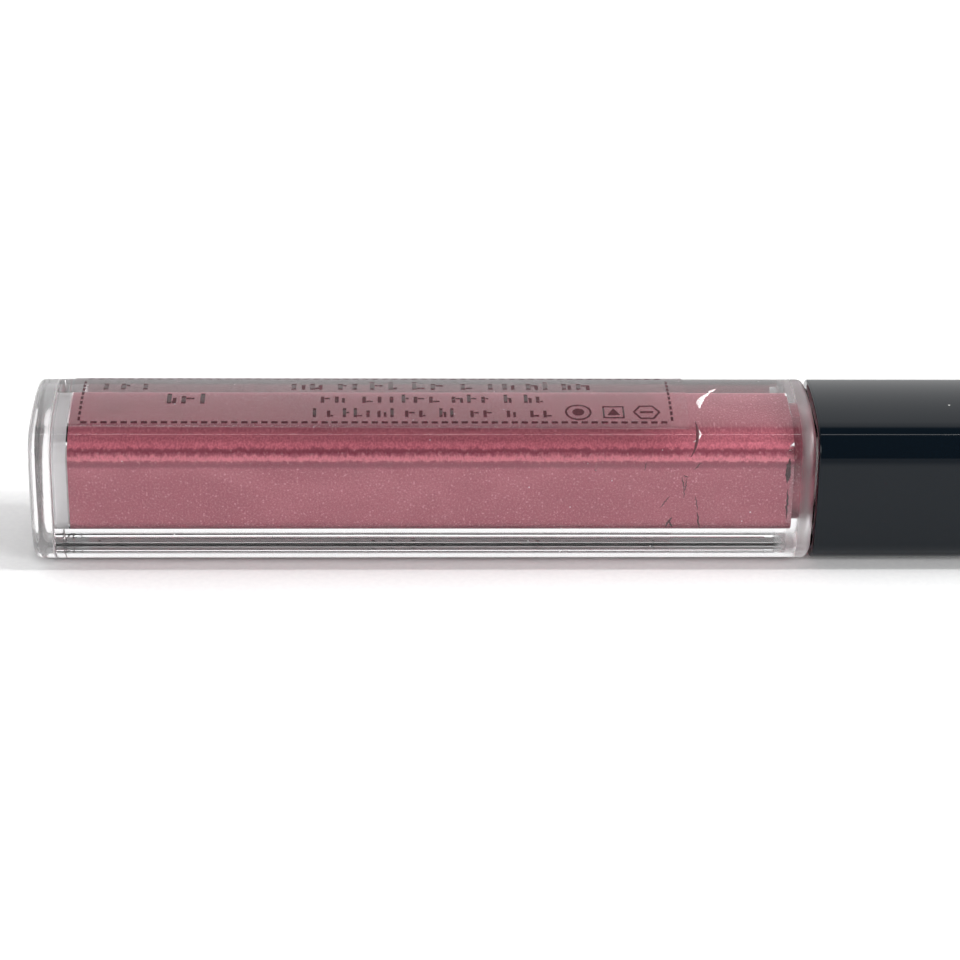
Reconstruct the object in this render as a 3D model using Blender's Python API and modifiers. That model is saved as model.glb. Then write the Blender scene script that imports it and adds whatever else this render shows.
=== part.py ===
"""Square lip gloss tube: clear thick-walled bottle, black screw cap and flocked applicator wand.

The tube lies on one of its four flat sides. +X runs from the bottle's base to the closed end of the
cap, +Z is up, and the origin lies under the middle of the tube on the surface it rests on.
Every length is in metres. A station is a distance from the base end, measured along the tube.
"""

import math

import bmesh
import bpy
from mathutils import Matrix, Vector

MM = 0.001
DEGREE = math.pi / 180
QUARTER_TURN = 90 * DEGREE

# Outside of the tube
SIDE = 15.0 * MM                # width across the middle of the faces, bottle and cap alike
CORNER = 3.3 * MM               # radius of the four long edges
BULGE = 10 * DEGREE             # each face is a shallow arc that leans this far at its two sides
BOTTLE_LENGTH = 73.2 * MM       # square part of the bottle, base plug included
CAP_LENGTH = 41.0 * MM
CAP_JOINT = 0.2 * MM            # open line between the bottle's shoulder and the cap's mouth
END_ROUNDING = 0.8 * MM         # rims of the base, the bottle's shoulder and the cap's closed end
SEAM_ROUNDING = 0.12 * MM       # broken edges beside a joint line
FIT = 0.06 * MM                 # gap between pieces that touch
OVERLAP = 1.0 * MM              # how far a cutter or added stock runs past a surface

# Bottle
CAVITY_SIDE = 7.7 * MM
CAVITY_CORNER = 1.1 * MM
CAVITY_START = 3.3 * MM         # station of the cavity's floor
CAVITY_END = 71.4 * MM
FLANGE = 2.1 * MM               # thickness of the base plug outside the cavity
NECK_BORE = 3.5 * MM            # radii
NECK_OUTSIDE = 4.5 * MM
NECK_END = 87.0 * MM

# Screw thread
PITCH = 2.4 * MM
THREAD_TURNS = 1.6
NECK_THREAD_START = 78.2 * MM
THREAD_HEIGHT = 0.38 * MM
THREAD_CLEARANCE = 0.12 * MM    # radial, crest to crest
THREAD_END_SHARE = 0.4          # height of the ridge at its very ends, as a share of the full height
THREAD_TAPER = 0.2              # turns over which it reaches the full height

# Wiper and gasket
WIPER_START = 72.7 * MM
WIPER_ORIFICE = 2.1 * MM
WIPER_WALL = 0.5 * MM
WIPER_FLANGE = 0.8 * MM
WIPER_FUNNEL = 3.2 * MM
WIPER_LIP = 0.35 * MM
GASKET = 0.7 * MM
GASKET_PLAY = 0.2 * MM          # radial, to the rod's collar inside and the liner outside

# Cap
CAP_WALL = 1.3 * MM
CAP_HOLLOW_CORNER = 2.2 * MM
CAP_END_WALL = 1.8 * MM
LINER_WALL = 0.7 * MM
LINER_DISC = 1.0 * MM
LINER_COLLAR = 1.2 * MM
LINER_RECESS = 0.5 * MM         # how far the liner's mouth stands back from the cap's
COLLAR_RECESS = 0.1 * MM        # how far the liner's square rim stands back from its mouth
SOCKET_DEPTH = 11.0 * MM
SOCKET_WALL = 0.9 * MM
FIN_THICKNESS = 0.8 * MM
FIN_STEP = 0.4 * MM             # the fins end this far before the socket does

# Wand
ROD_RADIUS = 1.6 * MM
ROD_START = 22.0 * MM
ROD_COLLAR = 2.6 * MM
ROD_PLUG = 1.75 * MM
ROD_CHAMFER = 0.3 * MM
ROD_END_PLAY = 0.5 * MM         # between the plug end and the socket's far end
COLLAR_LAP = 0.3 * MM           # how far the rod's collar reaches into the wiper
TIP_START = 8.0 * MM
TIP_RADIUS = 2.0 * MM           # outside of the flocking
TIP_FLATNESS = 0.72             # thickness of the tip over its width
TIP_SLOPE_END = 15.5 * MM       # where the slanted face of the tip has run out
TIP_SLOPE_LOW = 0.35            # what is left of the upper half at the very tip
TIP_FULLNESS = 0.6              # how quickly the tip swells behind its nose, 1 for an ellipse
FLOCK = 0.5 * MM
SHANK_RADIUS = 0.9 * MM
SHANK_DEPTH = 5.8 * MM
SHANK_END_PLAY = 0.4 * MM

# Contents and label
FILL_HOLE = 2.25 * MM           # channel that the wand leaves in the gloss
FILL_HOLE_START = 7.0 * MM
LABEL_START = 3.6 * MM
LABEL_END = 61.4 * MM
LABEL_THICKNESS = 0.08 * MM
LABEL_WRAP = 28 * DEGREE        # how far the film turns down over the long edges

# Roundness
FACE_STEPS = 5                  # odd, so that each face has a flat strip along its middle
CORNER_STEPS = 8
RIM_STEPS = 4
ROUND_STEPS = 40
THREAD_STEPS = 24               # points for each turn of a thread

# Places that follow from the dimensions above
LENGTH = BOTTLE_LENGTH + CAP_JOINT + CAP_LENGTH
CAP_START = BOTTLE_LENGTH + CAP_JOINT
WIPER_END = NECK_END + FIT + WIPER_FLANGE
GASKET_START = WIPER_END + FIT
DISC_START = GASKET_START + GASKET + FIT
DISC_END = DISC_START + LINER_DISC
NECK_CREST = NECK_OUTSIDE + THREAD_HEIGHT
LINER_BORE = NECK_CREST + THREAD_CLEARANCE + THREAD_HEIGHT
SOCKET_BORE = ROD_PLUG + FIT

COLOURS = {
    "clear plastic": ((0.93, 0.95, 0.95, 1), 0.05),
    "pink gloss": ((0.62, 0.17, 0.24, 1), 0.3),
    "natural polyethylene": ((0.86, 0.86, 0.84, 1), 0.45),
    "label film": ((0.80, 0.78, 0.78, 1), 0.25),
    "gloss black": ((0.012, 0.012, 0.013, 1), 0.06),
    "black polypropylene": ((0.03, 0.03, 0.03, 1), 0.4),
    "foam": ((0.88, 0.88, 0.86, 1), 0.8),
    "natural polypropylene": ((0.82, 0.82, 0.80, 1), 0.35),
    "white flock": ((0.90, 0.86, 0.85, 1), 0.95),
}


def new_collection(name):
    """A collection of that name in the scene, emptied of what an earlier run left."""
    made = bpy.data.collections.get(name) or bpy.data.collections.new(name)
    if name not in bpy.context.scene.collection.children:
        bpy.context.scene.collection.children.link(made)
    return made


def material(name):
    """The material of that name, made on first use."""
    found = bpy.data.materials.get(name)
    if found:
        return found
    colour, roughness = COLOURS[name]
    made = bpy.data.materials.new(name)
    made.use_nodes = True
    shader = made.node_tree.nodes["Principled BSDF"]
    shader.inputs["Base Color"].default_value = colour
    shader.inputs["Roughness"].default_value = roughness
    shader.inputs["Metallic"].default_value = 0.0
    made.diffuse_color = colour
    return made


def add_object(name, mesh, finish=None):
    """Puts a mesh in the scene with its origin on the tube's axis. No finish means a cutter."""
    made = bpy.data.objects.new(name, mesh)
    made.location = CENTRE
    if finish:
        mesh.materials.append(material(finish))
        PARTS.objects.link(made)
    else:
        made.hide_render = True
        made.display_type = "WIRE"
        CUTTERS.objects.link(made)
    return made


def mesh_from(bm, name):
    """A smooth-shaded mesh with sharp rims from a bmesh, which is freed."""
    mesh = bpy.data.meshes.new(name)
    bmesh.ops.recalc_face_normals(bm, faces=bm.faces)
    bm.to_mesh(mesh)
    bm.free()
    mesh.shade_smooth()
    mesh.set_sharp_from_angle(angle=35 * DEGREE)
    return mesh


def edges_at(bm, station):
    """The edges that lie in the plane across the tube at that station."""
    near = 0.5 * FIT
    return [e for e in bm.edges if all(abs(v.co.x - station) < near for v in e.verts)]


def outline_point(angle, side, corner, bulge, outwards=0):
    """The point of a square section whose outward normal has this angle, 0 along +Y, as (y, z).

    The sides are arcs that lean by the bulge angle where they meet the corner arcs. Without a bulge
    they are straight, and have no points of their own between the corners.
    """
    swell = math.sin(bulge) - math.cos(bulge)
    quarter = math.floor(angle / QUARTER_TURN + 0.5)
    lean = angle - quarter * QUARTER_TURN
    if bulge:
        face_radius = (side / 2 + corner * swell) / (1 + swell)
        corner_centre = (face_radius - corner) * math.sin(bulge)
    else:
        corner_centre = side / 2 - corner
    if bulge and abs(lean) <= bulge:
        across = side / 2 - face_radius + (face_radius + outwards) * math.cos(lean)
        along = (face_radius + outwards) * math.sin(lean)
    else:
        across = corner_centre + (corner + outwards) * math.cos(lean)
        along = math.copysign(corner_centre, lean) + (corner + outwards) * math.sin(lean)
    turn = Matrix.Rotation(quarter * QUARTER_TURN, 2)
    return turn @ Vector((across, along))


def outline_angles(bulge):
    """The normals' angles of a section's points, one after another round it."""
    arc = QUARTER_TURN - 2 * bulge
    quarter = [bulge + arc * i / CORNER_STEPS for i in range(CORNER_STEPS + 1)]
    if bulge:
        quarter += [arc + bulge + 2 * bulge * i / FACE_STEPS for i in range(1, FACE_STEPS)]
    else:
        nudge = 0.0001 * DEGREE
        quarter[0], quarter[-1] = nudge, QUARTER_TURN - nudge
    return [angle + number * QUARTER_TURN for number in range(4) for angle in quarter]


def bar(name, start, end, side, corner, finish=None, bulge=0, rims=(0, 0)):
    """A bar of square section between two stations, with its long edges and end rims rounded."""
    bm = bmesh.new()
    points = [outline_point(angle, side, corner, bulge) for angle in outline_angles(bulge)]
    ring = [bm.verts.new((start, y, z)) for y, z in points]
    swept = bmesh.ops.extrude_face_region(bm, geom=[bm.faces.new(ring)])["geom"]
    moved = [v for v in swept if isinstance(v, bmesh.types.BMVert)]
    bmesh.ops.translate(bm, vec=(end - start, 0, 0), verts=moved)
    for station, rim in zip((start, end), rims):
        if rim:
            round_edges(bm, edges_at(bm, station), rim, RIM_STEPS)
    return add_object(name, mesh_from(bm, name), finish)


def round_edges(bm, edges, radius, steps):
    """Rounds these edges to a circular arc."""
    bmesh.ops.bevel(bm, geom=edges, offset=radius, segments=steps, profile=0.5, affect="EDGES")


def turned(name, profile, finish=None, closed=False):
    """A round piece from (station, radius) points, turned about the tube's axis.

    The outer side runs from high stations to low ones. An open profile starts and ends on the axis.
    """
    count = len(profile)
    edges = [(i, i + 1) for i in range(count - 1)]
    if closed:
        edges.append((count - 1, 0))
    mesh = bpy.data.meshes.new(name)
    mesh.from_pydata([(station, radius, 0) for station, radius in profile], edges, [])
    made = add_object(name, mesh, finish)
    screw = made.modifiers.new("turn", "SCREW")
    screw.axis = "X"
    screw.steps = ROUND_STEPS
    screw.render_steps = ROUND_STEPS
    screw.use_merge_vertices = True
    screw.merge_threshold = 0.00001
    screw.use_smooth_shade = True
    return made


def combine(target, other, operation):
    """Adds or cuts another object with an exact Boolean."""
    modifier = target.modifiers.new(operation.lower() + " " + other.name, "BOOLEAN")
    modifier.operation = operation
    modifier.object = other
    modifier.solver = "EXACT"


def add(target, other):
    combine(target, other, "UNION")


def cut(target, other):
    combine(target, other, "DIFFERENCE")


def cylinder(name, start, end, radius):
    """A round cutter between two stations."""
    return turned(name, [(end, 0), (end, radius), (start, radius), (start, 0)])


def evaluated_mesh(source, name):
    """A welded mesh copy of an object with its modifiers or curve settings applied."""
    graph = bpy.context.evaluated_depsgraph_get()
    mesh = bpy.data.meshes.new_from_object(source.evaluated_get(graph))
    mesh.name = name
    bm = bmesh.new()
    bm.from_mesh(mesh)
    bmesh.ops.remove_doubles(bm, verts=bm.verts, dist=0.000001)
    bm.to_mesh(mesh)
    bm.free()
    return mesh


def thread_ridge(name, start, radius):
    """A right-hand helical ridge of round section whose ends taper away, as a cutter object."""
    curve = bpy.data.curves.new(name + " line", "CURVE")
    curve.dimensions = "3D"
    curve.bevel_depth = THREAD_HEIGHT
    curve.bevel_resolution = 2
    curve.use_fill_caps = True
    spline = curve.splines.new("POLY")
    count = int(THREAD_TURNS * THREAD_STEPS) + 1
    growth = (1 - THREAD_END_SHARE) / THREAD_TAPER
    spline.points.add(count - 1)
    for i, point in enumerate(spline.points):
        turn = i / THREAD_STEPS
        angle = 2 * math.pi * turn
        point.co = (start + PITCH * turn, radius * math.cos(angle), radius * math.sin(angle), 1)
        point.radius = min(1, THREAD_END_SHARE + growth * min(turn, THREAD_TURNS - turn))
    line = bpy.data.objects.new(name + " line", curve)
    line.location = CENTRE
    CUTTERS.objects.link(line)
    bpy.context.view_layer.update()
    ridge = add_object(name, evaluated_mesh(line, name))
    ridge.matrix_world = line.matrix_world
    bpy.data.objects.remove(line)
    return ridge


def bottle_body():
    """Clear square bottle, open at the base, with its shoulder and threaded neck."""
    body = bar("bottle_body", FLANGE + FIT, BOTTLE_LENGTH, SIDE, CORNER, "clear plastic",
               BULGE, (SEAM_ROUNDING, END_ROUNDING))
    add(body, cylinder("neck stock", BOTTLE_LENGTH - OVERLAP, NECK_END, NECK_OUTSIDE))
    add(body, thread_ridge("neck thread", NECK_THREAD_START, NECK_OUTSIDE))
    cut(body, bar("cavity", 0, CAVITY_END, CAVITY_SIDE, CAVITY_CORNER))
    cut(body, cylinder("neck bore", CAVITY_END - OVERLAP, NECK_END + OVERLAP, NECK_BORE))
    return body


def base_plug():
    """Clear end piece: a flange that continues the bottle and a spigot in the cavity."""
    plug = bar("base_plug", 0, FLANGE, SIDE, CORNER, "clear plastic",
               BULGE, (END_ROUNDING, SEAM_ROUNDING))
    add(plug, bar("spigot", FLANGE / 2, CAVITY_START, CAVITY_SIDE - 2 * FIT, CAVITY_CORNER - FIT))
    return plug


def gloss_fill():
    """The gloss itself, up to the wiper, with the channel that the wand stands in."""
    fill = bar("gloss_fill", CAVITY_START + FIT, CAVITY_END - FIT, CAVITY_SIDE - 2 * FIT,
               CAVITY_CORNER - FIT, "pink gloss")
    end = WIPER_START - FIT
    add(fill, cylinder("fill in the neck", CAVITY_END - OVERLAP, end, NECK_BORE - FIT))
    cut(fill, cylinder("wand channel", FILL_HOLE_START, end + OVERLAP, FILL_HOLE))
    return fill


def label_film():
    """Clear sticker on the upper face, turned down a little over both long edges."""
    top = [a for a in outline_angles(BULGE) if abs(a - QUARTER_TURN) < LABEL_WRAP]
    section = [outline_point(angle, SIDE, CORNER, BULGE, FIT) for angle in top]
    bm = bmesh.new()
    row = [bm.verts.new((LABEL_START, y, z)) for y, z in section]
    line = [bm.edges.new(pair) for pair in zip(row, row[1:])]
    swept = bmesh.ops.extrude_edge_only(bm, edges=line)["geom"]
    moved = [v for v in swept if isinstance(v, bmesh.types.BMVert)]
    bmesh.ops.translate(bm, vec=(LABEL_END - LABEL_START, 0, 0), verts=moved)
    bm.normal_update()
    mesh = bpy.data.meshes.new("label_film")
    bm.to_mesh(mesh)
    bm.free()
    film = add_object("label_film", mesh, "label film")
    solid = film.modifiers.new("thickness", "SOLIDIFY")
    solid.thickness = LABEL_THICKNESS
    solid.offset = math.copysign(1, mesh.polygons[0].normal.z)
    return film


def neck_wiper():
    """Soft insert pressed into the neck: a flange, a sleeve and a funnel that ends in the orifice."""
    sleeve = NECK_BORE - FIT
    seat = NECK_END + FIT
    profile = [
        (WIPER_END, NECK_OUTSIDE),
        (seat, NECK_OUTSIDE),
        (seat, sleeve),
        (WIPER_START + WIPER_FUNNEL, sleeve),
        (WIPER_START, WIPER_ORIFICE + WIPER_LIP),
        (WIPER_START, WIPER_ORIFICE),
        (WIPER_START + WIPER_LIP, WIPER_ORIFICE),
        (WIPER_START + WIPER_FUNNEL, sleeve - WIPER_WALL),
        (WIPER_END, sleeve - WIPER_WALL),
    ]
    return turned("neck_wiper", profile, "natural polyethylene", closed=True)


def cap_gasket():
    """Foam ring between the wiper's flange and the floor of the cap liner."""
    end = GASKET_START + GASKET
    inside = ROD_COLLAR + GASKET_PLAY
    outside = LINER_BORE - GASKET_PLAY
    profile = [(end, outside), (GASKET_START, outside), (GASKET_START, inside), (end, inside)]
    return turned("cap_gasket", profile, "foam", closed=True)


def cap_shell():
    """Gloss black square cap, hollow and open towards the bottle."""
    shell = bar("cap_shell", CAP_START, LENGTH, SIDE, CORNER, "gloss black",
                BULGE, (2 * SEAM_ROUNDING, END_ROUNDING))
    inside = bar("cap hollow", CAP_START - OVERLAP, LENGTH - CAP_END_WALL,
                 SIDE - 2 * CAP_WALL, CAP_HOLLOW_CORNER)
    cut(shell, inside)
    return shell


def cap_liner():
    """Threaded sleeve inside the cap, with the socket that holds the wand and four keying fins."""
    outside = LINER_BORE + LINER_WALL
    socket = SOCKET_BORE + SOCKET_WALL
    end = DISC_END + SOCKET_DEPTH
    start = CAP_START + LINER_RECESS
    profile = [
        (end, SOCKET_BORE),
        (end, socket),
        (DISC_END, socket),
        (DISC_END, outside),
        (start, outside),
        (start, LINER_BORE),
        (DISC_START, LINER_BORE),
        (DISC_START, SOCKET_BORE),
    ]
    liner = turned("cap_liner", profile, "black polypropylene", closed=True)
    add(liner, thread_ridge("liner thread", NECK_THREAD_START + PITCH / 2, LINER_BORE))
    add(liner, mouth_collar(start + COLLAR_RECESS))
    for number in range(4):
        add(liner, keying_fin(number, socket, end))
    return liner


def mouth_collar(start):
    """The square rim of the liner, which closes the cap's mouth round the threaded sleeve."""
    end = start + LINER_COLLAR
    collar = bar("liner collar", start, end, SIDE - 2 * CAP_WALL - 2 * FIT,
                 CAP_HOLLOW_CORNER - FIT)
    cut(collar, cylinder("collar bore", start - LINER_COLLAR, end + LINER_COLLAR,
                         LINER_BORE + LINER_WALL / 2))
    return collar


def keying_fin(number, socket, end):
    """A thin rib from the socket out to one corner of the cap's hollow."""
    hollow = SIDE / 2 - CAP_WALL
    corner = CAP_HOLLOW_CORNER
    reach = (hollow - corner) * math.sqrt(2) + corner - 2 * FIT
    root = socket - SOCKET_WALL / 2
    foot = DISC_END - LINER_DISC / 2
    top = end - FIN_STEP
    bm = bmesh.new()
    bmesh.ops.create_cube(bm, size=1)
    bmesh.ops.scale(bm, vec=(top - foot, reach - root, FIN_THICKNESS), verts=bm.verts)
    middle = ((foot + top) / 2, (root + reach) / 2, 0)
    bmesh.ops.translate(bm, vec=middle, verts=bm.verts)
    turn = Matrix.Rotation((number + 0.5) * QUARTER_TURN, 3, "X")
    bmesh.ops.rotate(bm, matrix=turn, verts=bm.verts)
    name = "fin " + str(number + 1)
    return add_object(name, mesh_from(bm, name))


def wand_rod():
    """Round stem with a collar and a plug end for the cap, and a hole for the applicator."""
    collar_start = WIPER_END - COLLAR_LAP
    collar_end = DISC_START - FIT
    plug_end = DISC_END + SOCKET_DEPTH - ROD_END_PLAY
    hole = SHANK_RADIUS + FIT
    hole_end = ROD_START + SHANK_DEPTH + SHANK_END_PLAY
    profile = [
        (plug_end, 0),
        (plug_end, ROD_PLUG - ROD_CHAMFER),
        (plug_end - ROD_CHAMFER, ROD_PLUG),
        (collar_end, ROD_PLUG),
        (collar_end, ROD_COLLAR),
        (collar_start, ROD_COLLAR),
        (collar_start - 2 * ROD_CHAMFER, ROD_RADIUS),
        (ROD_START + ROD_CHAMFER, ROD_RADIUS),
        (ROD_START, ROD_RADIUS - ROD_CHAMFER),
        (ROD_START, hole),
        (hole_end, hole),
        (hole_end, 0),
    ]
    return turned("wand_rod", profile, "natural polypropylene")


def tip_outline(start, end, radius, steps):
    """Stations and radii of a long drop: a round nose at start that swells to the full radius."""
    points = []
    for i in range(steps + 1):
        angle = QUARTER_TURN * i / steps
        swell = math.cos(angle) ** TIP_FULLNESS
        points.append((end - (end - start) * swell, radius * math.sin(angle)))
    return points


def flatten_tip(tip, flat_end):
    """Flattens the turned tip and slants its upper face down to the nose."""
    mesh = evaluated_mesh(tip, tip.name)
    tip.modifiers.clear()
    for vertex in mesh.vertices:
        if vertex.co.x > flat_end:
            continue
        vertex.co.z *= TIP_FLATNESS
        if vertex.co.z > 0 and vertex.co.x < TIP_SLOPE_END:
            share = (vertex.co.x - TIP_START) / (TIP_SLOPE_END - TIP_START)
            vertex.co.z *= TIP_SLOPE_LOW + (1 - TIP_SLOPE_LOW) * share
    mesh.shade_smooth()
    tip.data = mesh


def applicator_core():
    """Plastic core of the slanted applicator, with the shank that plugs into the rod."""
    body_end = ROD_START - FIT
    radius = TIP_RADIUS - FLOCK - FIT
    nose = tip_outline(TIP_START + FLOCK + FIT, TIP_SLOPE_END, radius, 8)
    profile = [(ROD_START + SHANK_DEPTH, 0), (ROD_START + SHANK_DEPTH, SHANK_RADIUS),
               (body_end, SHANK_RADIUS), (body_end, radius)]
    core = turned("applicator_core", profile + nose[::-1], "natural polypropylene")
    flatten_tip(core, body_end + FIT / 2)
    return core


def applicator_flock():
    """Flocked sleeve over the core, closed round the nose and open towards the rod."""
    end = ROD_START - 4 * FIT
    outer = tip_outline(TIP_START, TIP_SLOPE_END, TIP_RADIUS, 8)
    inner = tip_outline(TIP_START + FLOCK, TIP_SLOPE_END, TIP_RADIUS - FLOCK, 8)
    step = 0.6 * MM
    rear = [(end, TIP_RADIUS - 0.4 * FLOCK), (end - step, TIP_RADIUS)]
    profile = inner + [(end, TIP_RADIUS - FLOCK)] + rear + outer[::-1]
    flock = turned("applicator_flock", profile, "white flock")
    flatten_tip(flock, end + FIT)
    return flock


for old in list(bpy.data.objects):
    bpy.data.objects.remove(old)

# Station 0 on the tube's axis stands here, so that the lowest flat strip lies at z = 0
HALF_HEIGHT = outline_point(BULGE / FACE_STEPS, SIDE, CORNER, BULGE).x
CENTRE = (-LENGTH / 2, 0, HALF_HEIGHT)
PARTS = new_collection("lip gloss tube")
CUTTERS = new_collection("cutters")

bottle_body()
base_plug()
gloss_fill()
label_film()
neck_wiper()
cap_gasket()
cap_shell()
cap_liner()
wand_rod()
applicator_core()
applicator_flock()
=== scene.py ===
"""The looks of the square lip gloss tube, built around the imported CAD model.

The tube lies along X with its base at -X. A station is a distance from the base end along the
tube, and an angle round the section is 0 towards +Y and a quarter turn at the top. A negative y
is the side that faces the camera. Every length is in metres.
"""

import math
import random

import bmesh
import bpy
from mathutils import Matrix, Vector, noise

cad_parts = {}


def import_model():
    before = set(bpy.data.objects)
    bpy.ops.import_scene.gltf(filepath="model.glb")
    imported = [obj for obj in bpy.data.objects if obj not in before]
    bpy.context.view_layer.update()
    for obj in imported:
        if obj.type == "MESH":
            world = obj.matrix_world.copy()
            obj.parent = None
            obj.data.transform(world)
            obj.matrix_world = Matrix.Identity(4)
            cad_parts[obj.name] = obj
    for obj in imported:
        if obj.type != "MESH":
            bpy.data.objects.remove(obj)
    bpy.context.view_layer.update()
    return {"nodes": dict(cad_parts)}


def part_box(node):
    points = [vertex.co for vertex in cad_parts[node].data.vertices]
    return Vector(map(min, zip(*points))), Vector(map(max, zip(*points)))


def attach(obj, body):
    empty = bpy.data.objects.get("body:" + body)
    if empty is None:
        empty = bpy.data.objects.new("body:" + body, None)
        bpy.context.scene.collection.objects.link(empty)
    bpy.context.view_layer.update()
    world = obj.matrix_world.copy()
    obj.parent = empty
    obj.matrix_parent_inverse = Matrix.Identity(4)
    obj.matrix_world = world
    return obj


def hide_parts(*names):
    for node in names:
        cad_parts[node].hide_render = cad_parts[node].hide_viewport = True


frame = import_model()

MM = 0.001
DEGREE = math.pi / 180
QUARTER_TURN = 90 * DEGREE

# The frame: where station 0 and the tube's axis lie
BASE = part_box("base_plug")[0].x
AXIS = (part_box("cap_shell")[0].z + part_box("cap_shell")[1].z) / 2
CAP_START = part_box("cap_shell")[0].x - BASE
CAP_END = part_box("cap_shell")[1].x - BASE
BOTTLE_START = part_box("bottle_body")[0].x - BASE
NECK_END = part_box("bottle_body")[1].x - BASE

# Section of the bottle and the cap
SIDE = 15.0 * MM
CORNER = 3.3 * MM
BULGE = 10 * DEGREE
BOTTLE_LENGTH = 73.2 * MM
END_ROUNDING = 0.8 * MM
SEAM_ROUNDING = 0.12 * MM
FLANGE = 2.1 * MM

# Cavity and neck
CAVITY_SIDE = 7.7 * MM
CAVITY_CORNER = 1.1 * MM
CAVITY_BULGE = 1.0 * DEGREE
CAVITY_START = 3.3 * MM
CAVITY_END = 71.4 * MM
SPIGOT_GAP = -0.006 * MM        # the spigot is welded in, so no air shows beside it
NECK_BORE = 3.5 * MM
NECK_OUTSIDE = 4.5 * MM
PITCH = 2.4 * MM
THREAD_TURNS = 1.6
THREAD_START = 78.2 * MM
THREAD_HEIGHT = 0.38 * MM
THREAD_HALF_WIDTH = 0.55 * MM
FILL_START = CAVITY_START + 0.15 * MM
FILL_END = 72.6 * MM
FILL_HOLE = 2.2 * MM
FILL_HOLE_START = 7.0 * MM
PLASTIC_IOR = 1.57              # a clear copolyester
BASE_HAZE = (2.0 * MM, 2.3 * MM)            # stations where the haze at the seam ends,
SHOULDER_HAZE = (71.4 * MM, 72.1 * MM)      # where the moulded shoulder turns cloudy
NECK_HAZE = (73.3 * MM, 74.0 * MM)          # and where the neck is clearer again
POCKET_START = 69.8 * MM        # where the gloss begins to draw back from the wall
POCKET_DEPTH = 0.25 * MM
POCKET_ANGLE = 128 * DEGREE     # the corner where it has drawn back furthest
OVERLAP = 0.012 * MM            # how far what wets the plastic reaches in, so that no air shows

# Label
LABEL_START = 3.6 * MM
LABEL_END = 61.4 * MM
LABEL_THICKNESS = 0.07 * MM
LABEL_FAR = 64 * DEGREE         # angle of the far edge
LABEL_NEAR = (110 * DEGREE, 116 * DEGREE)   # of the near edge at the base end and the cap end
INK = 0.006 * MM
FACE_EDGE = 4.46 * MM           # from the middle of a face round to where its corner arc begins
PRINT_EDGE = 4.62 * MM          # the dashed frame's long sides, measured the same way
PRINT_START = 4.65 * MM
PRINT_END = 59.8 * MM
DASH = 0.60 * MM
DASH_PITCH = 0.93 * MM
DASH_WIDTH = 0.30 * MM

# Wand
ROD_RADIUS = 1.6 * MM
ROD_COLLAR = 2.6 * MM
ROD_PLUG = 1.75 * MM
ROD_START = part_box("wand_rod")[0].x - BASE
ROD_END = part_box("wand_rod")[1].x - BASE
COLLAR_START = 87.56 * MM
COLLAR_END = 88.62 * MM
TIP_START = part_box("applicator_flock")[0].x - BASE
TIP_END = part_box("applicator_flock")[1].x - BASE
TIP_RADIUS = 2.0 * MM
TIP_FLATNESS = 0.72
TIP_SLOPE_END = 15.5 * MM
TIP_SLOPE_LOW = 0.35
FLOCK = 0.5 * MM
FIBRES = 2600
FIBRE_LENGTH = 0.16 * MM
FIBRE_RADIUS = 0.014 * MM

# Wiper
WIPER_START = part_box("neck_wiper")[0].x - BASE
WIPER_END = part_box("neck_wiper")[1].x - BASE
WIPER_ORIFICE = 2.1 * MM
WIPER_FUNNEL = 3.2 * MM
WIPER_WALL = 0.5 * MM
WIPER_PLAY = 0.06 * MM

# Roundness
CORNER_STEPS = 22
FACE_STEPS = 10
RIM_STEPS = 8
ROUND_STEPS = 96


def place(station, y, z):
    """A point of the frame from a station and a place across the tube."""
    return Vector((BASE + station, y, AXIS + z))


def outline_point(angle, side, corner, bulge, outwards=0.0):
    """The point of a square section with arched sides whose outward normal has this angle."""
    swell = math.sin(bulge) - math.cos(bulge)
    quarter = math.floor(angle / QUARTER_TURN + 0.5)
    lean = angle - quarter * QUARTER_TURN
    face_radius = (side / 2 + corner * swell) / (1 + swell)
    corner_centre = (face_radius - corner) * math.sin(bulge)
    if abs(lean) <= bulge:
        across = side / 2 - face_radius + (face_radius + outwards) * math.cos(lean)
        along = (face_radius + outwards) * math.sin(lean)
    else:
        across = corner_centre + (corner + outwards) * math.cos(lean)
        along = math.copysign(corner_centre, lean) + (corner + outwards) * math.sin(lean)
    return Matrix.Rotation(quarter * QUARTER_TURN, 2) @ Vector((across, along))


def outline_angles(bulge):
    """The normals' angles of a section's points, the same count for every bulge."""
    arc = QUARTER_TURN - 2 * bulge
    corner = [bulge + arc * i / CORNER_STEPS for i in range(CORNER_STEPS)]
    face = [QUARTER_TURN - bulge + 2 * bulge * i / FACE_STEPS for i in range(FACE_STEPS)]
    return [a + number * QUARTER_TURN for number in range(4) for a in corner + face]


def square(station, side=SIDE, corner=CORNER, bulge=BULGE, inset=0.0):
    """A ring of points round a square section."""
    points = [outline_point(a, side, corner, bulge, -inset) for a in outline_angles(bulge)]
    return [place(station, y, z) for y, z in points]


def outside(station, inset):
    """The ring of the tube's outer skin, as rim takes it."""
    return square(station, inset=inset)


def cavity(station, outwards=0.0):
    """A ring round the cavity's section, grown outwards by that much."""
    return square(station, CAVITY_SIDE, CAVITY_CORNER, CAVITY_BULGE, -outwards)


# Where the square section's points lie as seen from the axis
POLAR = [math.atan2(z, y) for y, z in
         (outline_point(a, SIDE, CORNER, BULGE) for a in outline_angles(BULGE))]


def circle(station, radius):
    """A ring round a circle, with its points in line with those of the square sections."""
    return [place(station, radius * math.cos(a), radius * math.sin(a)) for a in POLAR]


def shrunk(ring, share):
    """A ring drawn in towards its middle."""
    middle = sum(ring, Vector()) / len(ring)
    return [middle + (point - middle) * share for point in ring]


def between(first, second, *shares):
    """Rings that lie these shares of the way from one ring to another."""
    return [[a.lerp(b, share) for a, b in zip(first, second)] for share in shares]


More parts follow.
